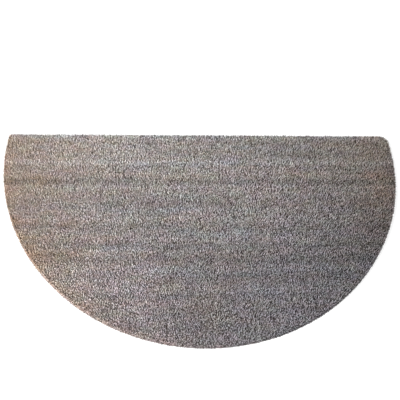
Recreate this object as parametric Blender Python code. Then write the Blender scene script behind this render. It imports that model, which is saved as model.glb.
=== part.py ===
"""Half-moon coir doormat: short cut pile bonded into a thin backing, cut to shape in one piece."""

from math import asin, ceil, cos, exp, hypot, pi, radians, sin

import bmesh
import bpy
from mathutils import Vector
from mathutils.geometry import delaunay_2d_cdt

# Driving dimensions, in metres
WIDTH = 0.700  # across the widest part, twice the arc's radius
DEPTH = 0.400  # from the straight back edge to the front of the arc
THICKNESS = 0.015  # backing and pile together
LEFT_CORNER = 0.004  # radius of the left back corner, nearly sharp
RIGHT_CORNER = 0.016  # radius of the right back corner, cut and worn rounder
RIM_EASE = 0.0016  # how far the pile's tips draw in and drop along the cut rim
SHOULDER = 0.0035  # how far under the top that easing starts

# Spacing of the mesh, in metres
RIM_STEP = 0.0085  # along the arc
BACK_STEP = 0.0125  # along the straight edge
CORNER_STEPS = 5  # round each back corner
ROW_STEP = 0.0046  # between rows of points on the top, fine enough for a ridge
COLUMN_STEP = 0.0240  # between the points of a row, along the ridges
RIM_CLEARANCE = 0.0035  # between the rim's points and the rows' points
CLOSEST = 0.00001  # points nearer than this would be one
WITHIN_RING = 1  # keeps the triangles that lie inside the rim

# Soft ridges and troughs along the mat, where the rows of pile stand higher or part: distance
# from the straight edge, height (negative for a trough) and half width, in millimetres
PILE_ROWS = (
    {"from_back": 7, "height": 0.35, "half_width": 5},
    {"from_back": 18, "height": -0.35, "half_width": 6},
    {"from_back": 27, "height": 0.30, "half_width": 5},
    {"from_back": 59, "height": 0.75, "half_width": 5},
    {"from_back": 86, "height": 0.30, "half_width": 8},
    {"from_back": 101, "height": -0.95, "half_width": 6},
    {"from_back": 111, "height": 0.60, "half_width": 5},
    {"from_back": 124, "height": 0.30, "half_width": 5},
    {"from_back": 146, "height": -0.35, "half_width": 9},
    {"from_back": 159, "height": 0.30, "half_width": 5},
    {"from_back": 175, "height": 0.60, "half_width": 6},
    {"from_back": 189, "height": -0.45, "half_width": 6},
    {"from_back": 212, "height": 0.40, "half_width": 7},
    {"from_back": 226, "height": -0.50, "half_width": 5},
    {"from_back": 237, "height": 0.40, "half_width": 5},
    {"from_back": 252, "height": -0.65, "half_width": 7},
    {"from_back": 270, "height": 0.60, "half_width": 6},
    {"from_back": 283, "height": -0.35, "half_width": 6},
    {"from_back": 306, "height": 0.45, "half_width": 8},
    {"from_back": 317, "height": -0.60, "half_width": 4},
    {"from_back": 327, "height": 0.35, "half_width": 6},
    {"from_back": 345, "height": -0.30, "half_width": 5},
    {"from_back": 362, "height": 0.35, "half_width": 7},
    {"from_back": 372, "height": -0.40, "half_width": 4},
)
ROW_WANDER = 0.0016  # how far a ridge strays from a straight line
WANDER_LENGTH = 0.90  # from one stray to the next, along the ridge
RIPPLE = 0.4  # share of the wander that comes in shorter waves
RIPPLE_LENGTH = 0.27
LOWEST_SWELL = 0.5  # least height that a ridge keeps along its run, as a share of its full height
SWELL_LENGTH = 0.57
UNEVEN = 0.0003  # slow unevenness of the whole top
UNEVEN_LENGTH = 0.65

# Worked out from the sizes above
MM = 0.001
RADIUS = WIDTH / 2
BACK = DEPTH / 2  # the straight edge, with the origin under the middle of the mat's box
ARC_CENTRE = RADIUS - DEPTH / 2
CHORD = BACK - ARC_CENTRE  # the straight edge, seen from the arc's centre


def clear_scene():
    """Start from an empty scene."""
    for item in list(bpy.data.objects):
        bpy.data.objects.remove(item, do_unlink=True)


def arc_points(centre, radius, start, end, steps):
    """Points and outward normals along an arc, both ends included."""
    found = []
    for step in range(steps + 1):
        angle = start + (end - start) * step / steps
        normal = Vector((cos(angle), sin(angle)))
        found.append((Vector(centre) + normal * radius, normal))
    return found


def corner_centre(radius, side):
    """Middle of a corner's arc, and the turn at which it runs on into the big arc."""
    down = CHORD - radius
    across = ((RADIUS - radius) ** 2 - down**2) ** 0.5
    return Vector((side * across, ARC_CENTRE + down)), asin(down / (RADIUS - radius))


def outline():
    """The half moon's edge as points with outward normals, clockwise from the left back corner."""
    left, left_turn = corner_centre(LEFT_CORNER, -1)
    right, right_turn = corner_centre(RIGHT_CORNER, 1)
    run = right.x - left.x
    steps = ceil(run / BACK_STEP)
    straight = [
        (Vector((left.x + run * step / steps, BACK)), Vector((0, 1)))
        for step in range(1, steps)
    ]
    turn = pi + left_turn + right_turn
    front = arc_points(
        (0, ARC_CENTRE), RADIUS, right_turn, right_turn - turn, ceil(RADIUS * turn / RIM_STEP)
    )
    return (
        arc_points(left, LEFT_CORNER, pi - left_turn, pi / 2, CORNER_STEPS)
        + straight
        + arc_points(right, RIGHT_CORNER, pi / 2, right_turn, CORNER_STEPS)[:-1]
        + front[:-1]
    )


def inside(x, y, clearance):
    """Whether a point lies on the mat, clear of the rim."""
    return y < BACK - clearance and hypot(x, y - ARC_CENTRE) < RADIUS - clearance


def in_rounded_corner(x, y, clearance):
    """Whether a point lies beyond the right back corner's arc, where the mat is cut away."""
    centre, _ = corner_centre(RIGHT_CORNER, 1)
    if x < centre.x or y < centre.y:
        return False
    return hypot(x - centre.x, y - centre.y) > RIGHT_CORNER - clearance


def wave(along, length, shift):
    """A gentle wave between -1 and 1."""
    return sin(2 * pi * along / length + shift)


def relief(x, y):
    """Height of the pile's tips over or under the even top, in metres."""
    height = UNEVEN * (wave(x + y, UNEVEN_LENGTH, 0) + wave(2 * y - x, UNEVEN_LENGTH, 1)) / 2
    for number, row in enumerate(PILE_ROWS):
        stray = wave(x, WANDER_LENGTH, 2 * number) + RIPPLE * wave(x, RIPPLE_LENGTH, number)
        middle = BACK - row["from_back"] * MM + ROW_WANDER * stray
        across = (y - middle) / (row["half_width"] * MM)
        swell = 1 - (1 - LOWEST_SWELL) * (1 + wave(x, SWELL_LENGTH, 3 * number)) / 2
        height += row["height"] * MM * swell * exp(-across * across)
    return height


def top_points(rim):
    """Points of the top: its drawn-in rim, then staggered rows along the ridges."""
    points = [place - normal * RIM_EASE for place, normal in rim]
    clearance = RIM_EASE + RIM_CLEARANCE
    rows = ceil(DEPTH / ROW_STEP)
    columns = ceil(WIDTH / COLUMN_STEP)
    for row in range(1, rows):
        y = BACK - DEPTH * row / rows
        for column in range(columns + 1):
            x = WIDTH * ((column + 0.5 * (row % 2)) / columns - 0.5)
            if inside(x, y, clearance) and not in_rounded_corner(x, y, clearance):
                points.append(Vector((x, y)))
    return points


def build_mat():
    """The whole mat as one closed body: flat underside, upright cut rim, uneven top."""
    rim = outline()
    count = len(rim)
    ring = [list(range(count))]
    points = top_points(rim)
    places, _, faces, _, _, _ = delaunay_2d_cdt(points, [], ring, WITHIN_RING, CLOSEST)

    mesh = bmesh.new()
    top = []
    for number, place in enumerate(places):
        drop = RIM_EASE if number < count else 0.0
        top.append(mesh.verts.new((place.x, place.y, THICKNESS + relief(place.x, place.y) - drop)))
    for face in faces:
        mesh.faces.new([top[corner] for corner in face])

    shoulder = [mesh.verts.new((place.x, place.y, THICKNESS - SHOULDER)) for place, _ in rim]
    sole = [mesh.verts.new((place.x, place.y, 0.0)) for place, _ in rim]
    for number in range(count):
        after = (number + 1) % count
        for upper, lower in ((top, shoulder), (shoulder, sole)):
            mesh.faces.new((upper[number], upper[after], lower[after], lower[number]))
    mesh.faces.new(sole)

    bmesh.ops.triangulate(mesh, faces=mesh.faces[:])
    bmesh.ops.recalc_face_normals(mesh, faces=mesh.faces[:])
    data = bpy.data.meshes.new("coir_mat")
    mesh.to_mesh(data)
    mesh.free()
    data.shade_smooth()
    data.set_sharp_from_angle(angle=radians(40))
    return data


def coir():
    """Matt, weathered coconut fibre."""
    material = bpy.data.materials.new("coir")
    material.use_nodes = True
    shader = material.node_tree.nodes["Principled BSDF"]
    shader.inputs["Base Color"].default_value = (0.245, 0.218, 0.208, 1.0)
    shader.inputs["Roughness"].default_value = 0.95
    shader.inputs["Metallic"].default_value = 0.0
    return material


def add_mat():
    """Place the mat with its underside on the ground."""
    mat = bpy.data.objects.new("coir_mat", build_mat())
    mat.data.materials.append(coir())
    bpy.context.collection.objects.link(mat)


clear_scene()
add_mat()
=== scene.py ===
from math import asin, pi, radians

import bmesh
import bpy
import numpy as np
from mathutils import Matrix, Vector
from mathutils.geometry import delaunay_2d_cdt


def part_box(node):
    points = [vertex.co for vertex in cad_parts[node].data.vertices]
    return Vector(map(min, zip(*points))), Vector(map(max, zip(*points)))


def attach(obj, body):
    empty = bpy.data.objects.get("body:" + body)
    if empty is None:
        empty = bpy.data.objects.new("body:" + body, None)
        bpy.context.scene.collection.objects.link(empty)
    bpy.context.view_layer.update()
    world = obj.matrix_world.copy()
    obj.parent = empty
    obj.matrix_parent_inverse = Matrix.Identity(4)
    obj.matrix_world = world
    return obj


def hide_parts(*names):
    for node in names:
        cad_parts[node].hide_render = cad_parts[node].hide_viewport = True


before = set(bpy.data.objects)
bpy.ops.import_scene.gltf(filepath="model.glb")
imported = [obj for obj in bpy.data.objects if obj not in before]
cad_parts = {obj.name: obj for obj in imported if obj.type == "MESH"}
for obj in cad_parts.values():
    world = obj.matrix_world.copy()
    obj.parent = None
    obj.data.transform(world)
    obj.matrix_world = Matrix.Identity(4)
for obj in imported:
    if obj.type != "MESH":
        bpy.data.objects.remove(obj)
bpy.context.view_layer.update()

# The mat itself: coir yarn set upright and close together in a thin vinyl sheet, then cut to a
# half moon with one upright cut all round. This piece is its sole, its cut wall and the packed
# lower part of the pile, painted darker as the shade deep between the fibres that stand out of it.
SOLE_EDGE = 0.0012  # thickness of the vinyl at the cut
PILE_SHOWN = 0.0042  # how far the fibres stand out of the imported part
PACKED_BUMPS = 0.0004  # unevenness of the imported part
LEFT_CORNER = 0.004  # radii of the back corners
RIGHT_CORNER = 0.016
BODY_STEP = 0.0038  # spacing of the body's points
BODY_STRAY = 0.3  # share of it by which a point strays
BODY_CLEAR = 0.9  # share of it that a point keeps from the rim
TOP_INSIDE = 0.0018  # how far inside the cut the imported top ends
WALL_RINGS = (  # how far inside the cut the wall runs, from the top down to the sole
    {"inside": 0.0016, "height": 0.0062},
    {"inside": 0.0014, "height": 0.0035},
    {"inside": 0.0006, "height": SOLE_EDGE},
    {"inside": 0.0003, "height": 0.0},
)
EASED = 0.004  # the solid's points are read only this far inside the rim
ROW_REACH = (0.022, 0.0034)  # how far each of them counts, along its row and across it
GRID_STEP = 0.0025  # of the even grid of heights that they give
GRID_MARGIN = 0.005  # how far it goes past the mat

# How the rows have weathered: distance from the straight edge and half their width, in
# millimetres, then how much paler and how much warmer they are than the rest
WEATHERED_ROWS = (
    {"from_back": 17, "wide": 6, "paler": -0.03, "warmer": 0.20},
    {"from_back": 34, "wide": 6, "paler": -0.06},
    {"from_back": 60, "wide": 4, "paler": 0.13, "warmer": -0.18},
    {"from_back": 86, "wide": 8, "paler": 0.02, "warmer": 0.15},
    {"from_back": 111, "wide": 3, "paler": 0.05},
    {"from_back": 124, "wide": 5, "warmer": 0.09},
    {"from_back": 157, "wide": 6, "warmer": -0.12},
    {"from_back": 168, "wide": 4, "paler": -0.05, "warmer": 0.04},
    {"from_back": 175, "wide": 4, "warmer": 0.06},
    {"from_back": 202, "wide": 5, "warmer": -0.12},
    {"from_back": 218, "wide": 4, "paler": 0.02, "warmer": 0.08},
    {"from_back": 230, "wide": 4, "warmer": -0.08},
    {"from_back": 246, "wide": 5, "warmer": 0.07},
    {"from_back": 274, "wide": 7, "warmer": -0.12},
    {"from_back": 293, "wide": 5, "warmer": 0.08},
    {"from_back": 340, "wide": 8, "warmer": 0.09},
    {"from_back": 361, "wide": 4, "paler": -0.08},
    {"from_back": 373, "wide": 4, "paler": -0.06},
)
# Bleached, worn and browned spots, of which most are short dashes along a row: their place, half
# their length and half their width, in millimetres, then how much paler and how much warmer
MARKS = (
    {"x": -215, "from_back": 8, "long": 45, "wide": 9, "warmer": 0.35},
    {"x": -100, "from_back": 12, "long": 22, "wide": 8, "warmer": 0.30},
    {"x": -95, "from_back": 18, "long": 10, "wide": 4, "paler": -0.20, "warmer": 0.10},
    {"x": -22, "from_back": 18, "long": 6, "wide": 3, "paler": -0.16, "warmer": 0.10},
    {"x": 190, "from_back": 23, "long": 9, "wide": 5, "paler": 0.16, "warmer": -0.30},
    {"x": 95, "from_back": 25, "long": 50, "wide": 9, "warmer": -0.25},
    {"x": -75, "from_back": 26, "long": 8, "wide": 3, "paler": 0.12},
    {"x": 75, "from_back": 26, "long": 40, "wide": 4, "warmer": -0.22},
    {"x": -240, "from_back": 33, "long": 60, "wide": 8, "warmer": 0.35},
    {"x": 185, "from_back": 35, "long": 8, "wide": 5, "paler": -0.10},
    {"x": -130, "from_back": 36, "long": 30, "wide": 9, "warmer": -0.20},
    {"x": 165, "from_back": 36, "long": 18, "wide": 6, "warmer": 0.35},
    {"x": -10, "from_back": 37, "long": 6, "wide": 3, "paler": -0.12},
    {"x": -140, "from_back": 40, "long": 70, "wide": 13, "paler": 0.12},
    {"x": 180, "from_back": 40, "long": 22, "wide": 5, "paler": -0.04, "warmer": 0.28},
    {"x": 142, "from_back": 42, "long": 6, "wide": 4, "paler": -0.12, "warmer": 0.10},
    {"x": 200, "from_back": 46, "long": 85, "wide": 17, "paler": -0.13},
    {"x": -100, "from_back": 48, "long": 12, "wide": 4, "paler": -0.11},
    {"x": -135, "from_back": 50, "long": 70, "wide": 42, "paler": 0.04},
    {"x": 285, "from_back": 53, "long": 10, "wide": 4, "paler": -0.15},
    {"x": 265, "from_back": 54, "long": 30, "wide": 2.5, "paler": -0.10},
    {"x": 190, "from_back": 55, "long": 75, "wide": 50, "paler": -0.08},
    {"x": -150, "from_back": 57, "long": 12, "wide": 3, "paler": 0.12},
    {"x": -50, "from_back": 57, "long": 22, "wide": 3, "paler": 0.18, "warmer": -0.15},
    {"x": -315, "from_back": 59, "long": 10, "wide": 3, "paler": 0.12},
    {"x": -190, "from_back": 60, "long": 12, "wide": 4, "paler": 0.20, "warmer": -0.10},
    {"x": 50, "from_back": 61, "long": 18, "wide": 6, "warmer": -0.30},
    {"x": 107, "from_back": 61, "long": 12, "wide": 5, "paler": 0.16, "warmer": -0.15},
    {"x": 145, "from_back": 62, "long": 10, "wide": 3, "paler": 0.14},
    {"x": 45, "from_back": 63, "long": 18, "wide": 7, "warmer": -0.35},
    {"x": 20, "from_back": 65, "long": 10, "wide": 4, "paler": 0.14, "warmer": -0.10},
    {"x": -322, "from_back": 66, "long": 20, "wide": 12, "paler": -0.10, "warmer": -0.40},
    {"x": 20, "from_back": 68, "long": 20, "wide": 4, "paler": 0.12},
    {"x": -45, "from_back": 70, "long": 22, "wide": 9, "warmer": -0.22},
    {"x": -200, "from_back": 78, "long": 24, "wide": 8, "warmer": 0.28},
    {"x": -158, "from_back": 78, "long": 22, "wide": 4, "paler": 0.11},
    {"x": -315, "from_back": 82, "long": 25, "wide": 9, "warmer": -0.30},
    {"x": -200, "from_back": 83, "long": 25, "wide": 5, "warmer": 0.25},
    {"x": 310, "from_back": 86, "long": 30, "wide": 11, "paler": -0.03, "warmer": 0.25},
    {"x": -300, "from_back": 87, "long": 14, "wide": 5, "paler": -0.10},
    {"x": 190, "from_back": 87, "long": 40, "wide": 9, "warmer": 0.22},
    {"x": 255, "from_back": 90, "long": 8, "wide": 3, "paler": 0.12},
    {"x": -285, "from_back": 92, "long": 25, "wide": 4, "paler": -0.08, "warmer": 0.25},
    {"x": 65, "from_back": 99, "long": 15, "wide": 4, "paler": -0.13},
    {"x": -245, "from_back": 100, "long": 25, "wide": 3, "paler": -0.05},
    {"x": -100, "from_back": 100, "long": 15, "wide": 22, "warmer": 0.14},
    {"x": 30, "from_back": 100, "long": 90, "wide": 25, "paler": -0.06},
    {"x": -210, "from_back": 101, "long": 34, "wide": 6, "paler": 0.11},
    {"x": -150, "from_back": 105, "long": 25, "wide": 4, "warmer": -0.14},
    {"x": 330, "from_back": 105, "long": 14, "wide": 4, "paler": -0.12, "warmer": 0.10},
    {"x": 45, "from_back": 106, "long": 35, "wide": 4, "warmer": -0.22},
    {"x": 145, "from_back": 107, "long": 13, "wide": 4, "paler": 0.12, "warmer": -0.20},
    {"x": -190, "from_back": 110, "long": 12, "wide": 3, "paler": 0.14},
    {"x": 310, "from_back": 111, "long": 25, "wide": 3, "paler": 0.12},
    {"x": 88, "from_back": 112, "long": 26, "wide": 12, "paler": 0.10},
    {"x": 235, "from_back": 112, "long": 12, "wide": 3, "paler": 0.14},
    {"x": 325, "from_back": 115, "long": 30, "wide": 18, "warmer": 0.18},
    {"x": -30, "from_back": 117, "long": 85, "wide": 5, "paler": -0.11},
    {"x": 95, "from_back": 118, "long": 14, "wide": 4, "paler": 0.11},
    {"x": 168, "from_back": 118, "long": 12, "wide": 4, "paler": -0.16},
    {"x": -140, "from_back": 119, "long": 10, "wide": 3, "paler": -0.12},
    {"x": 160, "from_back": 119, "long": 15, "wide": 5, "warmer": 0.28},
    {"x": 60, "from_back": 123, "long": 12, "wide": 4, "paler": 0.10},
    {"x": -280, "from_back": 125, "long": 34, "wide": 9, "warmer": 0.35},
    {"x": 318, "from_back": 126, "long": 14, "wide": 7, "paler": -0.04, "warmer": 0.38},
    {"x": -165, "from_back": 130, "long": 60, "wide": 10, "warmer": -0.15},
    {"x": 165, "from_back": 130, "long": 40, "wide": 12, "paler": -0.07},
    {"x": 325, "from_back": 130, "long": 25, "wide": 45, "paler": 0.14, "warmer": 0.20},
    {"x": 198, "from_back": 133, "long": 12, "wide": 4, "paler": -0.12, "warmer": 0.10},
    {"x": 22, "from_back": 134, "long": 18, "wide": 5, "paler": -0.13},
    {"x": 245, "from_back": 135, "long": 10, "wide": 6, "paler": 0.12},
    {"x": 320, "from_back": 135, "long": 30, "wide": 45, "paler": 0.12, "warmer": 0.12},
    {"x": 125, "from_back": 137, "long": 24, "wide": 13, "warmer": 0.40},
    {"x": -230, "from_back": 138, "long": 24, "wide": 7, "warmer": -0.35},
    {"x": 40, "from_back": 142, "long": 15, "wide": 18, "warmer": 0.30},
    {"x": -240, "from_back": 143, "long": 16, "wide": 5, "paler": 0.12},
    {"x": -250, "from_back": 145, "long": 8, "wide": 4, "paler": 0.12},
    {"x": 118, "from_back": 148, "long": 10, "wide": 4, "paler": -0.10, "warmer": 0.10},
    {"x": -312, "from_back": 149, "long": 28, "wide": 6, "warmer": -0.35},
    {"x": -35, "from_back": 149, "long": 24, "wide": 8, "warmer": -0.40},
    {"x": -318, "from_back": 150, "long": 25, "wide": 12, "warmer": -0.25},
    {"x": -45, "from_back": 157, "long": 35, "wide": 5, "paler": 0.03, "warmer": -0.24},
    {"x": 90, "from_back": 158, "long": 16, "wide": 4, "paler": 0.11},
    {"x": 75, "from_back": 159, "long": 14, "wide": 5, "paler": 0.08, "warmer": -0.22},
    {"x": -190, "from_back": 160, "long": 90, "wide": 28, "paler": 0.06},
    {"x": 25, "from_back": 160, "long": 28, "wide": 35, "paler": -0.05},
    {"x": 300, "from_back": 160, "long": 12, "wide": 3, "paler": 0.10},
    {"x": -105, "from_back": 165, "long": 12, "wide": 5, "paler": -0.11},
    {"x": -25, "from_back": 165, "long": 18, "wide": 28, "paler": 0.06},
    {"x": 175, "from_back": 165, "long": 5, "wide": 8, "paler": -0.10},
    {"x": -310, "from_back": 170, "long": 28, "wide": 10, "paler": -0.13},
    {"x": -170, "from_back": 171, "long": 70, "wide": 7, "warmer": -0.45},
    {"x": 8, "from_back": 171, "long": 26, "wide": 11, "warmer": 0.30},
    {"x": -88, "from_back": 172, "long": 16, "wide": 14, "paler": -0.13},
    {"x": -150, "from_back": 175, "long": 25, "wide": 4, "paler": 0.12},
    {"x": -125, "from_back": 175, "long": 22, "wide": 12, "warmer": -0.18},
    {"x": 210, "from_back": 175, "long": 14, "wide": 5, "paler": 0.14},
    {"x": -210, "from_back": 177, "long": 8, "wide": 3, "paler": 0.16},
    {"x": 195, "from_back": 177, "long": 10, "wide": 3, "paler": 0.12},
    {"x": 118, "from_back": 178, "long": 8, "wide": 3, "paler": 0.16},
    {"x": -185, "from_back": 179, "long": 20, "wide": 4, "paler": 0.13},
    {"x": -58, "from_back": 180, "long": 10, "wide": 4, "paler": 0.11},
    {"x": -60, "from_back": 181, "long": 7, "wide": 3, "paler": 0.14},
    {"x": 230, "from_back": 181, "long": 6, "wide": 5, "paler": 0.12},
    {"x": 235, "from_back": 185, "long": 45, "wide": 17, "paler": 0.10},
    {"x": -288, "from_back": 187, "long": 8, "wide": 3, "paler": -0.12, "warmer": 0.15},
    {"x": -238, "from_back": 187, "long": 14, "wide": 4, "paler": -0.18, "warmer": 0.28},
    {"x": 100, "from_back": 190, "long": 14, "wide": 4, "paler": -0.05, "warmer": 0.38},
    {"x": 256, "from_back": 190, "long": 7, "wide": 4, "paler": 0.16},
    {"x": 150, "from_back": 192, "long": 75, "wide": 16, "paler": 0.07},
    {"x": -35, "from_back": 195, "long": 25, "wide": 15, "warmer": -0.14},
    {"x": -300, "from_back": 196, "long": 14, "wide": 6, "paler": 0.15},
    {"x": -70, "from_back": 200, "long": 36, "wide": 42, "paler": -0.09},
    {"x": 66, "from_back": 204, "long": 11, "wide": 5, "paler": 0.22, "warmer": -0.42},
    {"x": -150, "from_back": 205, "long": 60, "wide": 6, "warmer": -0.22},
    {"x": 25, "from_back": 207, "long": 14, "wide": 5, "warmer": -0.24},
    {"x": -40, "from_back": 215, "long": 17, "wide": 6, "warmer": -0.35},
    {"x": 75, "from_back": 215, "long": 9, "wide": 5, "paler": 0.15},
    {"x": -285, "from_back": 216, "long": 28, "wide": 6, "paler": -0.16},
    {"x": 72, "from_back": 216, "long": 18, "wide": 8, "warmer": -0.40},
    {"x": 170, "from_back": 219, "long": 14, "wide": 7, "paler": 0.10},
    {"x": -90, "from_back": 220, "long": 8, "wide": 5, "warmer": 0.20},
    {"x": -130, "from_back": 222, "long": 40, "wide": 3, "paler": -0.10},
    {"x": -45, "from_back": 224, "long": 14, "wide": 6, "paler": -0.16},
    {"x": 155, "from_back": 225, "long": 18, "wide": 4, "paler": 0.13},
    {"x": -290, "from_back": 228, "long": 14, "wide": 10, "warmer": 0.35},
    {"x": 15, "from_back": 230, "long": 85, "wide": 6, "paler": -0.10},
    {"x": -60, "from_back": 231, "long": 11, "wide": 4, "paler": -0.24, "warmer": 0.10},
    {"x": 70, "from_back": 231, "long": 30, "wide": 3, "paler": -0.09},
    {"x": 220, "from_back": 231, "long": 28, "wide": 3, "paler": -0.08},
    {"x": -15, "from_back": 232, "long": 12, "wide": 5, "warmer": -0.20},
    {"x": -165, "from_back": 233, "long": 9, "wide": 5, "paler": -0.06, "warmer": -0.14},
    {"x": -165, "from_back": 233, "long": 12, "wide": 4, "paler": 0.13},
    {"x": -130, "from_back": 233, "long": 48, "wide": 9, "warmer": -0.45},
    {"x": -112, "from_back": 233, "long": 18, "wide": 3, "paler": 0.20, "warmer": -0.28},
    {"x": -185, "from_back": 237, "long": 18, "wide": 3, "paler": 0.14},
    {"x": 262, "from_back": 237, "long": 12, "wide": 3, "paler": 0.12},
    {"x": -255, "from_back": 241, "long": 12, "wide": 4, "paler": -0.22, "warmer": 0.15},
    {"x": -245, "from_back": 242, "long": 32, "wide": 6, "paler": -0.12},
    {"x": -15, "from_back": 242, "long": 18, "wide": 4, "paler": 0.09},
    {"x": 95, "from_back": 244, "long": 9, "wide": 5, "paler": 0.12},
    {"x": 253, "from_back": 246, "long": 12, "wide": 4, "paler": -0.18},
    {"x": 157, "from_back": 247, "long": 7, "wide": 4, "paler": -0.16},
    {"x": -158, "from_back": 250, "long": 7, "wide": 3, "paler": -0.16},
    {"x": -100, "from_back": 250, "long": 7, "wide": 5, "warmer": -0.22},
    {"x": -170, "from_back": 251, "long": 45, "wide": 4, "warmer": 0.30},
    {"x": -60, "from_back": 251, "long": 35, "wide": 3, "paler": -0.10},
    {"x": -200, "from_back": 257, "long": 18, "wide": 8, "paler": 0.12},
    {"x": 168, "from_back": 259, "long": 42, "wide": 8, "warmer": -0.35},
    {"x": 40, "from_back": 260, "long": 60, "wide": 30, "paler": -0.05},
    {"x": -78, "from_back": 262, "long": 6, "wide": 3, "paler": 0.12},
    {"x": 265, "from_back": 263, "long": 24, "wide": 11, "warmer": -0.45},
    {"x": -128, "from_back": 266, "long": 25, "wide": 8, "warmer": -0.35},
    {"x": -258, "from_back": 268, "long": 26, "wide": 5, "paler": -0.16},
    {"x": 145, "from_back": 269, "long": 7, "wide": 3, "paler": 0.12},
    {"x": -86, "from_back": 271, "long": 9, "wide": 5, "paler": 0.20, "warmer": -0.20},
    {"x": -110, "from_back": 272, "long": 45, "wide": 30, "paler": 0.09},
    {"x": 102, "from_back": 272, "long": 9, "wide": 3, "paler": 0.10},
    {"x": -178, "from_back": 273, "long": 10, "wide": 5, "paler": -0.15},
    {"x": -30, "from_back": 276, "long": 20, "wide": 7, "warmer": -0.24},
    {"x": 85, "from_back": 279, "long": 40, "wide": 5, "warmer": -0.20},
    {"x": -16, "from_back": 281, "long": 13, "wide": 8, "warmer": -0.40},
    {"x": -50, "from_back": 290, "long": 40, "wide": 28, "paler": -0.05},
    {"x": 165, "from_back": 290, "long": 70, "wide": 42, "paler": -0.09},
    {"x": -215, "from_back": 292, "long": 35, "wide": 5, "paler": 0.08},
    {"x": -110, "from_back": 300, "long": 28, "wide": 8, "warmer": -0.40},
    {"x": -60, "from_back": 300, "long": 15, "wide": 14, "warmer": 0.14},
    {"x": -135, "from_back": 302, "long": 13, "wide": 8, "paler": 0.08, "warmer": -0.12},
    {"x": 90, "from_back": 306, "long": 25, "wide": 8, "paler": 0.03, "warmer": -0.24},
    {"x": -222, "from_back": 307, "long": 14, "wide": 5, "paler": -0.14},
    {"x": 106, "from_back": 310, "long": 6, "wide": 3, "paler": 0.14},
    {"x": 200, "from_back": 315, "long": 14, "wide": 4, "paler": -0.12},
    {"x": 167, "from_back": 316, "long": 8, "wide": 3, "paler": -0.14},
    {"x": 20, "from_back": 318, "long": 34, "wide": 24, "warmer": 0.25},
    {"x": -125, "from_back": 320, "long": 26, "wide": 80, "paler": 0.05},
    {"x": -50, "from_back": 328, "long": 5, "wide": 4, "paler": 0.16},
    {"x": 0, "from_back": 332, "long": 15, "wide": 36, "warmer": 0.14},
    {"x": -117, "from_back": 337, "long": 8, "wide": 3, "paler": 0.12},
    {"x": -95, "from_back": 347, "long": 45, "wide": 28, "paler": 0.10},
    {"x": -110, "from_back": 352, "long": 12, "wide": 4, "paler": 0.18},
    {"x": -15, "from_back": 355, "long": 30, "wide": 9, "warmer": 0.35},
    {"x": 0, "from_back": 361, "long": 6, "wide": 4, "paler": -0.14},
    {"x": 140, "from_back": 361, "long": 22, "wide": 4, "paler": 0.13},
    {"x": -36, "from_back": 364, "long": 5, "wide": 4, "paler": -0.14},
    {"x": -30, "from_back": 365, "long": 32, "wide": 32, "paler": -0.07},
    {"x": -65, "from_back": 366, "long": 8, "wide": 4, "paler": 0.16},
    {"x": 10, "from_back": 388, "long": 8, "wide": 3, "paler": 0.14},
)
RIM_TINGED = 0.010  # how far inside the rim it is greyer at the back and right, browner elsewhere
RIM_TINGE = (-0.35, -0.30)  # by how much, towards the right and towards the back

low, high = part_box("coir_mat")
arc_radius = (high.x - low.x) / 2
arc_centre = low.y + arc_radius
back_edge = high.y


def corner(radius, side):
    """Middle of a back corner's arc, and the turn at which it runs on into the big arc."""
    down = back_edge - arc_centre - radius
    across = ((arc_radius - radius) ** 2 - down**2) ** 0.5
    return np.array((side * across, arc_centre + down)), asin(down / (arc_radius - radius))


def arc(centre, radius, start, end, step):
    """Points and outward normals along an arc, without its end."""
    count = max(2, round(abs(end - start) * radius / step))
    angle = start + (end - start) * np.arange(count) / count
    normal = np.stack((np.cos(angle), np.sin(angle)), 1)
    return centre + radius * normal, normal


def rim(step):
    """Points and outward normals round the half moon, clockwise from its left back corner."""
    left, left_turn = corner(LEFT_CORNER, -1)
    right, right_turn = corner(RIGHT_CORNER, 1)
    x = np.arange(left[0], right[0], step)
    straight = np.stack((x, np.full(len(x), back_edge)), 1), np.tile((0.0, 1.0), (len(x), 1))
    runs = (
        arc(left, LEFT_CORNER, pi - left_turn, pi / 2, step),
        straight,
        arc(right, RIGHT_CORNER, pi / 2, right_turn, step),
        arc(np.array((0, arc_centre)), arc_radius, right_turn, -pi - left_turn, step),
    )
    return np.concatenate([run[0] for run in runs]), np.concatenate([run[1] for run in runs])


def inside_by(x, y):
    """How far points lie inside the rim, in metres, and less than 0 outside it."""
    depth = np.minimum(back_edge - y, arc_radius - np.hypot(x, y - arc_centre))
    for side, radius in ((-1, LEFT_CORNER), (1, RIGHT_CORNER)):
        centre, turn = corner(radius, side)
        across, up = side * (x - centre[0]), y - centre[1]
        beyond = (np.arctan2(up, across) > turn) & (across > 0)
        depth = np.where(beyond, radius - np.hypot(across, up), depth)
    return depth


def outward(x, y):
    """The way out to the nearest rim, as a flat vector of length 1."""
    near = 1e-4
    across = inside_by(x - near, y) - inside_by(x + near, y)
    up = inside_by(x, y - near) - inside_by(x, y + near)
    return np.stack((across, up), 1) / np.maximum(np.hypot(across, up), 1e-9)[:, None]


def pile_top():
    """Height of the pile's tips on an even grid: at each place the mean of the solid's points near
    it, those of its own row most. The solid's eased rim is left out."""
    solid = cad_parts["coir_mat"].data
    points = np.array([v.co for v in solid.vertices])
    points = points[(inside_by(points[:, 0], points[:, 1]) > EASED) & (points[:, 2] > PILE_SHOWN)]
    x = np.arange(low.x - GRID_MARGIN, high.x + GRID_MARGIN, GRID_STEP)
    y = np.arange(low.y - GRID_MARGIN, high.y + GRID_MARGIN, GRID_STEP)
    along = np.exp(-(((x[:, None] - points[:, 0]) / ROW_REACH[0]) ** 2))
    across = np.exp(-(((y[:, None] - points[:, 1]) / ROW_REACH[1]) ** 2))
    weight = along @ across.T + 1e-12
    middle = np.median(points[:, 2])
    return middle + (along * (points[:, 2] - middle)) @ across.T / weight, middle


top_grid, even_top = pile_top()


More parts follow.
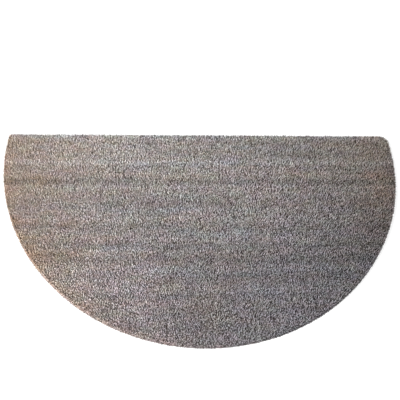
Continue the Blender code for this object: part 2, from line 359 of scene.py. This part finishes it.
def top_height(x, y):
    """Height of the pile's tips at these points, between the grid's four nearest."""
    at = np.clip((x - low.x + GRID_MARGIN) / GRID_STEP, 0, top_grid.shape[0] - 1.001)
    to = np.clip((y - low.y + GRID_MARGIN) / GRID_STEP, 0, top_grid.shape[1] - 1.001)
    i, j = at.astype(int), to.astype(int)
    at, to = at - i, to - j
    near = top_grid[i, j] * (1 - to) + top_grid[i, j + 1] * to
    far = top_grid[i + 1, j] * (1 - to) + top_grid[i + 1, j + 1] * to
    return near * (1 - at) + far * at


def body_mesh():
    """The closed body: flat sole, wall of a few rings, and an uneven packed top."""
    rng = np.random.default_rng(3)
    places, normals = rim(BODY_STEP)
    count = len(places)
    x, y = np.meshgrid(np.arange(low.x, high.x, BODY_STEP), np.arange(low.y, high.y, BODY_STEP))
    stray = BODY_STRAY
    x, y = (v.ravel() + rng.uniform(-stray, stray, v.size) * BODY_STEP for v in (x, y))
    keep = inside_by(x, y) > BODY_CLEAR * BODY_STEP
    top_ring = places - TOP_INSIDE * normals
    flat = [Vector(p) for p in (*top_ring, *zip(x[keep], y[keep]))]
    flat, _, faces, _, _, _ = delaunay_2d_cdt(flat, [], [list(range(count))], 1, 1e-6)
    spots = np.array([(p.x, p.y) for p in flat])
    height = top_height(*spots.T) - PILE_SHOWN + rng.normal(0, PACKED_BUMPS, len(spots))

    mesh = bmesh.new()
    top = [mesh.verts.new((*spot, z)) for spot, z in zip(spots, height)]
    for face in faces:
        mesh.faces.new([top[i] for i in face])
    rings = [top[:count]]
    for ring in WALL_RINGS:
        outline = places - ring["inside"] * normals
        rings.append([mesh.verts.new((*spot, ring["height"])) for spot in outline])
    for upper, lower in zip(rings, rings[1:]):
        for i in range(count):
            after = (i + 1) % count
            mesh.faces.new((upper[i], upper[after], lower[after], lower[i]))
    mesh.faces.new(rings[-1])
    bmesh.ops.triangulate(mesh, faces=mesh.faces[:])
    bmesh.ops.recalc_face_normals(mesh, faces=mesh.faces[:])
    for face in mesh.faces:
        face.material_index = int(max(v.co.z for v in face.verts) < SOLE_EDGE + 1e-5)
        face.smooth = face.normal.z > -0.5
    data = bpy.data.meshes.new("mat_body")
    mesh.to_mesh(data)
    mesh.free()
    return data


def weathering(x, y):
    """How much paler and how much warmer these points have weathered than the coir round them."""
    from_back = (back_edge - y) * 1000
    pale, warm = np.zeros(len(x)), np.zeros(len(x))
    for row in WEATHERED_ROWS:
        here = np.exp(-(((from_back - row["from_back"]) / row["wide"]) ** 2))
        pale += row.get("paler", 0) * here
        warm += row.get("warmer", 0) * here
    for mark in MARKS:
        along = (x * 1000 - mark["x"]) / mark["long"]
        across = (from_back - mark["from_back"]) / mark["wide"]
        here = np.exp(-(along**2) - across**2)
        pale += mark.get("paler", 0) * here
        warm += mark.get("warmer", 0) * here
    at_rim = np.exp(-inside_by(x, y).clip(0) / RIM_TINGED)
    return pale, warm + at_rim * (outward(x, y) @ RIM_TINGE)


def tones_at(x, y):
    """What the materials read at these points: the pile's height over its even top in millimetres,
    and how it has weathered."""
    pale, warm = weathering(x, y)
    return {"ridge": (top_height(x, y) - even_top) * 1000, "paler": pale, "warmer": warm}


def set_values(mesh, **values):
    """Keep one number for each point under each name, which the materials read."""
    for name, found in values.items():
        layer = mesh.attributes.new(name, "FLOAT", "POINT")
        layer.data.foreach_set("value", np.asarray(found, np.float32))


def new_group(name, inputs, outputs):
    """An empty shader node group with these sockets."""
    tree = bpy.data.node_groups.new(name, "ShaderNodeTree")
    for label, kind, value in inputs:
        socket = tree.interface.new_socket(label, in_out="INPUT", socket_type=kind)
        socket.default_value = value
    for label, kind in outputs:
        tree.interface.new_socket(label, in_out="OUTPUT", socket_type=kind)
    return tree, tree.nodes.new("NodeGroupInput"), tree.nodes.new("NodeGroupOutput")


def add_node(tree, kind, inputs=None, **settings):
    """A node with its settings, and for each input a value or the output that feeds it."""
    node = tree.nodes.new(kind)
    for name, value in settings.items():
        setattr(node, name, value)
    for name, value in (inputs or {}).items():
        if isinstance(value, bpy.types.NodeSocket):
            tree.links.new(value, node.inputs[name])
        else:
            node.inputs[name].default_value = value
    return node


def maths(tree, operation, first, second, third=None):
    """The output of one Math node."""
    inputs = {0: first, 1: second} | ({} if third is None else {2: third})
    return add_node(tree, "ShaderNodeMath", inputs, operation=operation).outputs[0]


def noise(tree, place, scale, stretch, detail=2.0, shift=0.0):
    """Smooth noise about 0, finer across the rows than along them by stretch."""
    moved = add_node(
        tree, "ShaderNodeMapping", {"Vector": place, "Scale": stretch, "Location": (shift,) * 3}
    )
    found = add_node(
        tree,
        "ShaderNodeTexNoise",
        {"Vector": moved.outputs[0], "Scale": scale, "Detail": detail, "Roughness": 0.55},
    )
    return maths(tree, "SUBTRACT", found.outputs["Fac"], 0.5)


COIR_SHADE = 0.505  # how pale the coir is in all
RIDGE_PAINTED_LIGHT = 0.30  # painted light and shade: how much paler the pile is painted for each millimetre that it stands higher, and darker where it stands lower
STREAKS = 0.30  # how much paler or darker the streaks along the rows and the soft patches are
PATCHES = 0.15
STAINS = 1.6  # how much browner or greyer the stains are, and single hairs than their neighbours
HAIRS = 1.2
ROSY_PATCHES = 3.4
# How the coir's tones drift over the mat: in its middle, and what is added towards the right and
# the back, in the corner between them, at the front and back edges and at the left and right ends
# The first of these is painted light: the coir is painted lighter to the left and the back and
# darker to the right and at both ends, as the light falls off across the mat.
PAINTED_LIGHT_FALLOFF = dict(middle=1.0, right=-0.425, back=0.10, corner=0.16, edges=0.15, ends=-0.25)
WARMED = dict(middle=0.63, right=-0.20, back=0.14, corner=0.40, edges=-0.15, ends=0.77)
ROSY = dict(middle=0.70, right=0.14, back=-0.27, corner=-0.08, edges=0.0, ends=0.0)


def drift(tree, right, back, ends, tone):
    """A tone that drifts over the mat, by how far right, back and near an end a point is."""
    to_right = maths(tree, "MULTIPLY_ADD", back, tone["corner"], tone["right"])
    to_back = maths(tree, "MULTIPLY_ADD", back, tone["edges"], tone["back"])
    found = maths(tree, "MULTIPLY_ADD", to_right, right, tone["middle"])
    found = maths(tree, "MULTIPLY_ADD", to_back, back, found)
    return maths(tree, "MULTIPLY_ADD", ends, tone["ends"], found)


def tone_group():
    """How light, how warm and how rosy the coir is over the mat: painted light that is lighter to
    the left and the back and darker to the right and at both ends, browner at both ends, painted
    light on the ridges and painted shade in the troughs, with streaks along the rows and soft
    patches."""
    outputs = (
        ("Shade", "NodeSocketFloat"),
        ("Warmth", "NodeSocketFloat"),
        ("Rosiness", "NodeSocketFloat"),
    )
    tree, _, out = new_group("coir_tone", (), outputs)
    place = add_node(tree, "ShaderNodeTexCoord").outputs["Object"]
    axes = add_node(tree, "ShaderNodeSeparateXYZ", {0: place})
    right = maths(tree, "MULTIPLY", axes.outputs["X"], 1 / arc_radius)
    back = maths(tree, "MULTIPLY", axes.outputs["Y"], 1 / back_edge)
    ends = maths(tree, "POWER", maths(tree, "MULTIPLY", right, right), 2.0)
    ridge, paler, warmer = (
        add_node(tree, "ShaderNodeAttribute", attribute_name=name).outputs["Fac"]
        for name in ("ridge", "paler", "warmer")
    )

    streak = noise(tree, place, 28.0, (1.0, 9.0, 1.0))
    patch = noise(tree, place, 17.0, (1.0, 2.0, 1.0), shift=3.0)
    # painted light on the ridges and painted shade in the troughs, by the pile's height
    uneven = maths(tree, "MULTIPLY_ADD", ridge, RIDGE_PAINTED_LIGHT, 1.0)
    uneven = maths(tree, "ADD", paler, uneven)
    uneven = maths(tree, "MULTIPLY_ADD", streak, STREAKS, uneven)
    uneven = maths(tree, "MULTIPLY_ADD", patch, PATCHES, uneven)
    uneven = maths(tree, "MULTIPLY", uneven, COIR_SHADE)
    # painted light falling off across the mat, times the rest of the coir's tone
    shade = maths(tree, "MULTIPLY", drift(tree, right, back, ends, PAINTED_LIGHT_FALLOFF), uneven)
    tree.links.new(shade, out.inputs["Shade"])

    stain = noise(tree, place, 16.0, (1.0, 4.0, 1.0), shift=7.0)
    hair = noise(tree, place, 90.0, (1.0, 1.6, 0.3), detail=4.0, shift=5.0)
    warm = maths(tree, "MULTIPLY_ADD", stain, STAINS, drift(tree, right, back, ends, WARMED))
    warm = maths(tree, "MULTIPLY_ADD", hair, HAIRS, warm)
    tree.links.new(maths(tree, "ADD", warmer, warm), out.inputs["Warmth"])

    patch = noise(tree, place, 38.0, (1.0, 1.5, 1.0), shift=11.0)
    rosy = drift(tree, right, back, ends, ROSY)
    rosy = maths(tree, "MULTIPLY_ADD", patch, ROSY_PATCHES, rosy)
    tree.links.new(rosy, out.inputs["Rosiness"])
    return tree


UNTINTED = 0.4  # the warmth that leaves a fibre its own colour
TINT_OF_DARK = 1.5  # how strongly warmth tints the darkest and the palest fibres
TINT_OF_PALE = 0.65
ROOT_PAINTED_SHADE = 0.9  # painted shade low in the pile: a fibre's shade at its root, as a share of that at its tip
GREYER = (0.93, 1.0, 1.06, 1.0)  # what a fibre's colour is multiplied by at warmth 0 and 1
BROWNER = (1.09, 0.98, 0.89, 1.0)
GREENER = (0.98, 1.03, 0.98, 1.0)  # and at rosiness 0 and 1
ROSIER = (1.01, 0.97, 1.02, 1.0)
FIBRE_SHADES = (  # from dark husk to bleached straw
    (0.00, (0.038, 0.032, 0.030)),
    (0.25, (0.150, 0.131, 0.126)),
    (0.50, (0.400, 0.366, 0.353)),
    (0.75, (0.672, 0.640, 0.628)),
    (1.00, (0.940, 0.930, 0.935)),
)


def fibre_group():
    """Colour of a coir fibre: its own shade from brown to straw, with painted shade darker towards
    its root.
    """
    tree, given, out = new_group(
        "coir_fibre",
        (
            ("Fibre", "NodeSocketFloat", 0.5),
            ("Up", "NodeSocketFloat", 1.0),
            ("Shade", "NodeSocketFloat", 1.0),
            ("Warmth", "NodeSocketFloat", 0.5),
            ("Rosiness", "NodeSocketFloat", 0.5),
        ),
        (("Color", "NodeSocketColor"),),
    )
    ramp = add_node(tree, "ShaderNodeValToRGB", {0: given.outputs["Fibre"]})
    while len(ramp.color_ramp.elements) < len(FIBRE_SHADES):
        ramp.color_ramp.elements.new(0.5)
    for element, (at, colour) in zip(ramp.color_ramp.elements, FIBRE_SHADES):
        element.position = at
        element.color = (*colour, 1.0)
    paler = TINT_OF_PALE - TINT_OF_DARK
    tinted = maths(tree, "MULTIPLY_ADD", given.outputs["Fibre"], paler, TINT_OF_DARK)
    warmth = maths(tree, "SUBTRACT", given.outputs["Warmth"], UNTINTED)
    warmth = maths(tree, "MULTIPLY_ADD", warmth, tinted, UNTINTED)
    tint = add_node(
        tree,
        "ShaderNodeMix",
        {0: warmth, 6: GREYER, 7: BROWNER},
        data_type="RGBA",
        clamp_factor=False,
    )
    # painted shade: each fibre is darker towards its root, deep in the pile
    painted_root_shade = add_node(
        tree,
        "ShaderNodeMapRange",
        {0: given.outputs["Up"], "To Min": ROOT_PAINTED_SHADE, "To Max": 1.0},
        interpolation_type="SMOOTHSTEP",
    )
    shade = maths(tree, "MULTIPLY", given.outputs["Shade"], painted_root_shade.outputs[0])
    rose = add_node(
        tree,
        "ShaderNodeMix",
        {0: given.outputs["Rosiness"], 6: GREENER, 7: ROSIER},
        data_type="RGBA",
        clamp_factor=False,
    )
    grey = add_node(tree, "ShaderNodeCombineColor", {0: shade, 1: shade, 2: shade})
    colour = ramp.outputs["Color"]
    for factor in (tint.outputs[2], rose.outputs[2], grey.outputs[0]):
        blended = add_node(
            tree,
            "ShaderNodeMix",
            {0: 1.0, 6: colour, 7: factor},
            data_type="RGBA",
            blend_type="MULTIPLY",
        )
        colour = blended.outputs[2]
    tree.links.new(colour, out.inputs["Color"])
    return tree


coir_tone = tone_group()
coir_fibre = fibre_group()


def use_group(tree, group, inputs=None):
    """A copy of a shader node group in a material."""
    return add_node(tree, "ShaderNodeGroup", inputs, node_tree=group)


def new_material(name, roughness):
    """A material with its Principled shader, matt and with little shine."""
    material = bpy.data.materials.new(name)
    material.use_nodes = True
    tree = material.node_tree
    tree.nodes.clear()
    shader = tree.nodes.new("ShaderNodeBsdfPrincipled")
    output = tree.nodes.new("ShaderNodeOutputMaterial")
    tree.links.new(shader.outputs[0], output.inputs[0])
    shader.inputs["Roughness"].default_value = roughness
    shader.inputs["Specular IOR Level"].default_value = 0.25
    return material, tree, shader


PACKED_PAINTED_SHADE = 0.6  # painted shade deep in the pile: of the shade of the fibres that stand out of it
VINYL_DARK = (0.125, 0.098, 0.078, 1.0)
VINYL_LIGHT = (0.175, 0.140, 0.112, 1.0)


def packed_coir():
    """The lower pile, seen deep between the fibres and at the cut wall, painted darker with the
    shade that falls there.
    """
    material, tree, shader = new_material("packed_coir", 0.95)
    place = add_node(tree, "ShaderNodeTexCoord").outputs["Object"]
    strands = noise(tree, place, 900.0, (1.0, 1.0, 0.25), detail=3.0)
    tone = use_group(tree, coir_tone)
    # painted shade: the packed coir is darker than the fibres above it
    shade = maths(tree, "MULTIPLY", tone.outputs["Shade"], PACKED_PAINTED_SHADE)
    colour = use_group(
        tree,
        coir_fibre,
        {
            "Fibre": maths(tree, "MULTIPLY_ADD", strands, 2.2, 0.4),
            "Shade": shade,
            "Warmth": tone.outputs["Warmth"],
            "Rosiness": tone.outputs["Rosiness"],
        },
    )
    tree.links.new(colour.outputs["Color"], shader.inputs["Base Color"])
    bump = add_node(
        tree, "ShaderNodeBump", {"Strength": 0.6, "Distance": 0.0008, "Height": strands}
    )
    tree.links.new(bump.outputs[0], shader.inputs["Normal"])
    return material


def vinyl_sole():
    """The dull vinyl underside, with the pebbled skin that it sets with."""
    material, tree, shader = new_material("vinyl_sole", 0.7)
    place = add_node(tree, "ShaderNodeTexCoord").outputs["Object"]
    pebbles = add_node(
        tree, "ShaderNodeTexVoronoi", {"Vector": place, "Scale": 420.0}, feature="SMOOTH_F1"
    )
    blotch = noise(tree, place, 25.0, (1.0, 3.0, 1.0))
    ramp = add_node(tree, "ShaderNodeMapRange", {0: blotch, 1: -0.3, 2: 0.3})
    colour = add_node(
        tree,
        "ShaderNodeMix",
        {0: ramp.outputs[0], 6: VINYL_DARK, 7: VINYL_LIGHT},
        data_type="RGBA",
    )
    tree.links.new(colour.outputs[2], shader.inputs["Base Color"])
    bump = add_node(
        tree,
        "ShaderNodeBump",
        {"Strength": 0.5, "Distance": 0.0005, "Height": pebbles.outputs["Distance"]},
    )
    tree.links.new(bump.outputs[0], shader.inputs["Normal"])
    return material


def add_piece(name, mesh, *materials):
    """Place a piece of the mat, which rides on the mat's one body."""
    piece = bpy.data.objects.new(name, mesh)
    bpy.context.collection.objects.link(piece)
    for material in materials:
        mesh.materials.append(material)
    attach(piece, "root")
    return piece


body = add_piece("mat_body", body_mesh(), packed_coir(), vinyl_sole())
spots = np.array([v.co for v in body.data.vertices])
set_values(body.data, **tones_at(spots[:, 0], spots[:, 1]))
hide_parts("coir_mat")

# The standing pile: stiff coconut fibres, trimmed to one height. They stand in small tufts, as
# the yarn opens, and each leans its own way and has its own shade, from dark husk to straw.
FIBRE_STEP = 0.00131  # from one fibre to the next
RIM_CLEAR = 0.0004  # no fibre starts nearer the cut
TUFT_STEP = (0.0019, 0.0026)  # from one tuft to the next, along the rows and across them
FIBRE_WIDTH = (0.00075, 0.00125)  # at the root, where hairs stick together
TIP_WIDTH = (0.00050, 0.00090)
ROOT_DEPTH = 0.0010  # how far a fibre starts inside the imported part
TRIM = 0.0006  # how unevenly the tips are trimmed
OVER = 0.0008  # how far the thin tips reach over the even top that they make together
OWN_LEAN = 0.0006
TUFT_LEAN = 0.0004
GATHER = 0.2  # how far tips are drawn to their tuft's middle
SPLAY = (0.0, 0.0026)  # how far the tips at the rim lean out
SPLAY_REACH = 0.0025
RIM_WORN = 0.0003  # how much lower they stand
RIM_ROOM = (0.0003, 0.0023)  # how far past the cut a tip may reach
SHADE = 0.5  # middle shade and spread of the fibres
SPREAD = 0.72
SPREAD_RIGHT = 0.8  # the shades spread less on the left and more on the right
SPREAD_FRONT = 0.32
SPREAD_BOTH = 0.46  # more again towards the front on the right, less there on the left
MIXED = 1.0  # how evenly light and dark are mixed, from 0 to 1
TUFT_SHARE = 0.1  # how much of its shade a fibre has from its tuft
RIM_DARKER = 0.03  # how much darker the fibres at the rim are
DARK_ROUGHNESS = 0.92  # bleached fibres are worn a little smoother
PALE_ROUGHNESS = 0.67
STRIPS = 6  # the pile is one piece for each strip of rows, from the back to the front

CORNERS = 5  # a fibre has three corners at its root and a short edge at its tip
FACES = ((0, 1, 4, 3), (1, 2, 4), (2, 0, 3), (2, 3, 4), (0, 2, 1))
# Where each face's corners lie on a fibre's patch of the colour map, root at 0 and tip at 1
PATCH = (
    ((0, 0), (1, 0), (1, 1), (0, 1)),
    ((1, 0), (0.3, 0), (1, 1)),
    ((0.7, 0), (0, 0), (0, 1)),
    ((0.5, 0), (0, 1), (1, 1)),
    ((0, 0), (0.5, 0.4), (1, 0)),
)
PATCH_EDGE = 0.14  # share of a patch that is left free at each side


def fibre_mesh(name, roots, tips, widths, tip_widths, turns, shades):
    """Chisel-ended slim prisms, one for each fibre, as one mesh."""
    count = len(roots)
    side = np.stack((np.cos(turns), np.sin(turns), np.zeros(count)), 1)
    ahead = np.stack((-np.sin(turns), np.cos(turns), np.zeros(count)), 1)
    wide, thin = widths[:, None], tip_widths[:, None]
    points = np.stack(
        (
            roots - 0.50 * wide * side - 0.29 * wide * ahead,
            roots + 0.50 * wide * side - 0.29 * wide * ahead,
            roots + 0.58 * wide * ahead,
            tips - 0.50 * thin * side,
            tips + 0.50 * thin * side,
        ),
        1,
    )
    sizes = np.array([len(face) for face in FACES])
    around = np.concatenate(FACES)
    loops = (np.arange(count)[:, None] * CORNERS + around).ravel()
    starts = np.concatenate(([0], np.cumsum(np.tile(sizes, count))[:-1]))
    mesh = bpy.data.meshes.new(name)
    mesh.vertices.add(count * CORNERS)
    mesh.loops.add(len(loops))
    mesh.polygons.add(len(starts))
    mesh.vertices.foreach_set("co", points.astype(np.float32).ravel())
    mesh.loops.foreach_set("vertex_index", loops.astype(np.int32))
    mesh.polygons.foreach_set("loop_start", starts.astype(np.int32))
    mesh.update(calc_edges=True)

    across = int(np.ceil(count**0.5))
    patch = np.concatenate(PATCH) * (1 - 2 * PATCH_EDGE) + PATCH_EDGE
    cell = np.stack((np.arange(count) % across, np.arange(count) // across), 1)
    spots = (cell[:, None, :] + patch[None, :, :]) / across
    chart = mesh.uv_layers.new(name="OFBake")
    chart.uv.foreach_set("vector", spots.astype(np.float32).ravel())

    tones = tones_at(roots[:, 0], roots[:, 1]) | {"fibre": shades}
    set_values(mesh, **{name: np.repeat(found, CORNERS) for name, found in tones.items()})
    set_values(mesh, up=np.tile((0.0, 0.0, 0.0, 1.0, 1.0), count))
    return mesh


def mixed(rng, shape):
    """Even random values for a field of rows, with each unlike the mean of those around it."""
    own = rng.normal(0, 1, shape)
    ways = [(across, up) for across in (-1, 0, 1) for up in (-1, 0, 1) if across or up]
    around = sum(np.roll(own, way, (0, 1)) for way in ways) / len(ways)
    found = own - MIXED * around
    return found / found.std()


def fibre_shades(of_tufts, of_fibres, x, y):
    """Shades from 0 to 1, dark to pale, which the fibres of a tuft partly share."""
    share = TUFT_SHARE * of_tufts + (1 - TUFT_SHARE**2) ** 0.5 * of_fibres
    right, front = x / arc_radius, -y / back_edge
    more = SPREAD_RIGHT * right + SPREAD_FRONT * front + SPREAD_BOTH * right * front
    return (SHADE + SPREAD * (1 + more) * share).clip(0, 1)


def pile_fibres():
    """Root, tip, widths, turn and shade of every fibre of the standing pile, back to front."""
    rng = np.random.default_rng(7)
    x, y = np.meshgrid(
        np.arange(low.x, high.x, FIBRE_STEP), np.arange(low.y, high.y, FIBRE_STEP)
    )
    own = mixed(rng, x.shape).ravel()
    x, y = (v.ravel() + rng.uniform(-0.5, 0.5, v.size) * FIBRE_STEP for v in (x, y))
    keep = np.flatnonzero(inside_by(x, y) > RIM_CLEAR)
    keep = keep[np.argsort(-y[keep])]
    x, y, own = x[keep], y[keep], own[keep]
    count = len(x)

    tuft_y = ((y - low.y) / TUFT_STEP[1]).astype(int)
    start = low.x - rng.uniform(0, TUFT_STEP[0], tuft_y.max() + 1)[tuft_y]
    tuft_x = ((x - start) / TUFT_STEP[0]).astype(int)
    tufts = tuft_x.max() + 1, tuft_y.max() + 1
    shade = fibre_shades(mixed(rng, tufts)[tuft_x, tuft_y], own, x, y)
    middle = rng.uniform(0.2, 0.8, (*tufts, 2))[tuft_x, tuft_y]
    lean = rng.normal(0, TUFT_LEAN, (*tufts, 2))[tuft_x, tuft_y]
    rise = rng.normal(0, TRIM, tufts)[tuft_x, tuft_y]

    to_middle = np.stack(
        (
            start + (tuft_x + middle[:, 0]) * TUFT_STEP[0] - x,
            low.y + (tuft_y + middle[:, 1]) * TUFT_STEP[1] - y,
        ),
        1,
    )
    at_rim = np.exp(-inside_by(x, y) / SPLAY_REACH)
    lean = lean + rng.normal(0, OWN_LEAN, (count, 2)) + GATHER * to_middle
    lean = lean + (rng.uniform(*SPLAY, count) * at_rim)[:, None] * outward(x, y)
    own_room = rng.uniform(*RIM_ROOM, count)
    room = inside_by(x + lean[:, 0], y + lean[:, 1]) + own_room
    lean *= np.clip(room / own_room, 0.0, 1.0)[:, None]
    height = top_height(x, y)
    shade = (shade - RIM_DARKER * at_rim).clip(0, 1)
    tip_z = height + OVER + rise + rng.normal(0, TRIM, count) - RIM_WORN * at_rim
    roots = np.stack((x, y, height - PILE_SHOWN - ROOT_DEPTH), 1)
    tips = np.stack((x + lean[:, 0], y + lean[:, 1], tip_z), 1)
    return (
        roots,
        tips,
        rng.uniform(*FIBRE_WIDTH, count),
        rng.uniform(*TIP_WIDTH, count),
        rng.uniform(0, 2 * pi, count),
        shade,
    )


def standing_coir():
    """The fibres' material, matt with a faint grain along each fibre."""
    material, tree, shader = new_material("standing_coir", 0.8)
    tone = use_group(tree, coir_tone)
    fibre = add_node(tree, "ShaderNodeAttribute", attribute_name="fibre").outputs["Fac"]
    up = add_node(tree, "ShaderNodeAttribute", attribute_name="up").outputs["Fac"]
    colour = use_group(
        tree,
        coir_fibre,
        {
            "Fibre": fibre,
            "Up": up,
            "Shade": tone.outputs["Shade"],
            "Warmth": tone.outputs["Warmth"],
            "Rosiness": tone.outputs["Rosiness"],
        },
    )
    tree.links.new(colour.outputs["Color"], shader.inputs["Base Color"])
    smoother = PALE_ROUGHNESS - DARK_ROUGHNESS
    rough = maths(tree, "MULTIPLY_ADD", fibre, smoother, DARK_ROUGHNESS)
    tree.links.new(rough, shader.inputs["Roughness"])
    place = add_node(tree, "ShaderNodeTexCoord").outputs["Object"]
    grain = noise(tree, place, 2500.0, (1.0, 1.0, 0.2))
    bump = add_node(
        tree, "ShaderNodeBump", {"Strength": 0.3, "Distance": 0.0002, "Height": grain}
    )
    tree.links.new(bump.outputs[0], shader.inputs["Normal"])
    return material


coir = standing_coir()
fibres = pile_fibres()
for number, strip in enumerate(np.array_split(np.arange(len(fibres[0])), STRIPS), 1):
    name = f"coir_pile_{number}"
    add_piece(name, fibre_mesh(name, *(v[strip] for v in fibres)), coir)

# The cut wall: the half moon is cut through the standing pile, so the wall is a brush of cut
# ends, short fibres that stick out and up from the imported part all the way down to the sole.
WALL_STEP = 0.00125  # from one cut end to the next, along the rim and up the wall
WALL_TUFT = 0.0021
WALL_OVER = 0.0006  # how far the wall's uppermost ends reach over the even top
WALL_FOOT = 0.0003  # height of its lowest ends, and of its lowest roots
WALL_LOWEST = 0.0005
WALL_OUT = (-0.0002, 0.0018)  # how far the ends reach past the cut, most of them only a little
WALL_UNEVEN = 0.0002  # how much further some tufts reach than others
WALL_RISE = (0.0012, 0.0042)  # from a fibre's root up to its end
WALL_ROOT = (0.0018, 0.0030)  # how far inside the cut it starts
WALL_PAINTED_SHADE = 0.15  # painted shade: how much darker the wall's fibres are painted, which tones down the light that falls on the wall


def wall_fibres():
    """Root, tip, widths, turn and shade of the cut fibres on the wall."""
    rng = np.random.default_rng(13)
    places, normals = rim(WALL_STEP)
    levels = int((even_top + WALL_OVER - WALL_FOOT) / WALL_STEP) + 1
    around = np.tile(np.arange(len(places)), levels)
    level = np.repeat(np.arange(levels), len(places))
    places, normals = places[around], normals[around]
    count = len(places)
    along = np.stack((normals[:, 1], -normals[:, 0]), 1)
    places = places + along * rng.uniform(-0.5, 0.5, (count, 1)) * WALL_STEP
    share = WALL_STEP / WALL_TUFT
    tuft = (around * share).astype(int), (level * share).astype(int)
    tufts = tuft[0].max() + 1, tuft[1].max() + 1
    own = mixed(rng, (levels, count // levels)).ravel()
    shade = fibre_shades(mixed(rng, tufts)[tuft], own, *places.T)
    out = WALL_OUT[0] + (WALL_OUT[1] - WALL_OUT[0]) * rng.uniform(0, 1, count) ** 2
    out += rng.normal(0, WALL_UNEVEN, tufts)[tuft]
    sideways = rng.normal(0, OWN_LEAN, count) + rng.normal(0, TUFT_LEAN, tufts)[tuft]
    top = top_height(*places.T) + WALL_OVER
    end_z = WALL_FOOT + (level + rng.uniform(-0.5, 0.5, count)).clip(0) * WALL_STEP
    end_z = np.minimum(end_z, top + rng.normal(0, TRIM, count))
    root_z = np.maximum(end_z - rng.uniform(*WALL_RISE, count), WALL_LOWEST)
    roots = places - normals * rng.uniform(*WALL_ROOT, (count, 1))
    ends = places + normals * out[:, None] + along * sideways[:, None]
    return (
        np.column_stack((roots, root_z)),
        np.column_stack((ends, end_z)),
        rng.uniform(*FIBRE_WIDTH, count),
        rng.uniform(*TIP_WIDTH, count),
        rng.uniform(0, 2 * pi, count),
        # painted shade on the wall's fibres
        (shade - WALL_PAINTED_SHADE).clip(0, 1),
    )


cut_wall = add_piece("coir_cut_wall", fibre_mesh("coir_cut_wall", *wall_fibres()), coir)

# The studio: a white lit table, soft light from all round and a soft lamp in front on the left,
# which shows the pile's relief. The camera looks down from in front.
FLOOR_SIZE = 12.0
FLOOR_DOWN = 0.0002  # just under the sole, so that the two faces don't meet
FLOOR_SHADE = 0.2
FLOOR_GLOW = 0.85  # strong enough that hardly any shadow shows
LAMP_PLACE = (-1.1, -0.85, 1.8)
LAMP_SIZE = 0.4
LAMP_POWER = 132.0
SKY_STRENGTH = 0.52
CAMERA_PLACE = (-0.0937, -0.5588, 1.0648)
CAMERA_AIM = (-0.0064, 0.0707, 0.0)
CAMERA_ROLL = 6.739  # degrees
FIELD_OF_VIEW = 31.726


def pale_floor():
    """A white table that is lit from below."""
    material, tree, shader = new_material("pale_floor", 0.9)
    shader.inputs["Base Color"].default_value = (FLOOR_SHADE, FLOOR_SHADE, FLOOR_SHADE, 1.0)
    shader.inputs["Emission Color"].default_value = (1.0, 1.0, 1.0, 1.0)
    shader.inputs["Emission Strength"].default_value = FLOOR_GLOW
    return material


bpy.ops.mesh.primitive_plane_add(size=FLOOR_SIZE, location=(0, 0, -FLOOR_DOWN))
floor = bpy.context.object
floor.name = "floor"
floor.data.materials.append(pale_floor())

scene = bpy.context.scene
world = bpy.data.worlds.new("studio")
world.use_nodes = True
sky = world.node_tree.nodes["Background"]
sky.inputs["Color"].default_value = (1.0, 1.0, 1.0, 1.0)
sky.inputs["Strength"].default_value = SKY_STRENGTH
scene.world = world

lamp = bpy.data.lights.new("soft_lamp", "AREA")
lamp.shape = "DISK"
lamp.size = LAMP_SIZE
lamp.energy = LAMP_POWER
lamp_stand = bpy.data.objects.new("soft_lamp", lamp)
bpy.context.collection.objects.link(lamp_stand)
lamp_stand.location = LAMP_PLACE
lamp_stand.rotation_mode = "QUATERNION"
lamp_stand.rotation_quaternion = (-Vector(LAMP_PLACE)).to_track_quat("-Z", "Y")


def camera_turn(place, aim, roll):
    """Rotation of a camera that looks at a point, tipped by roll."""
    forward = (Vector(aim) - Vector(place)).normalized()
    right = forward.cross(Vector((0, 0, 1))).normalized()
    up = right.cross(forward)
    level = Matrix((right, up, -forward)).transposed()
    return (level @ Matrix.Rotation(radians(roll), 3, "Z")).to_quaternion()


camera = bpy.data.cameras.new("camera")
camera.sensor_fit = "HORIZONTAL"
camera.angle = radians(FIELD_OF_VIEW)
camera.dof.use_dof = False
camera_stand = bpy.data.objects.new("camera", camera)
bpy.context.collection.objects.link(camera_stand)
camera_stand.location = CAMERA_PLACE
camera_stand.rotation_mode = "QUATERNION"
camera_stand.rotation_quaternion = camera_turn(CAMERA_PLACE, CAMERA_AIM, CAMERA_ROLL)
scene.camera = camera_stand
scene.view_settings.view_transform = "Standard"
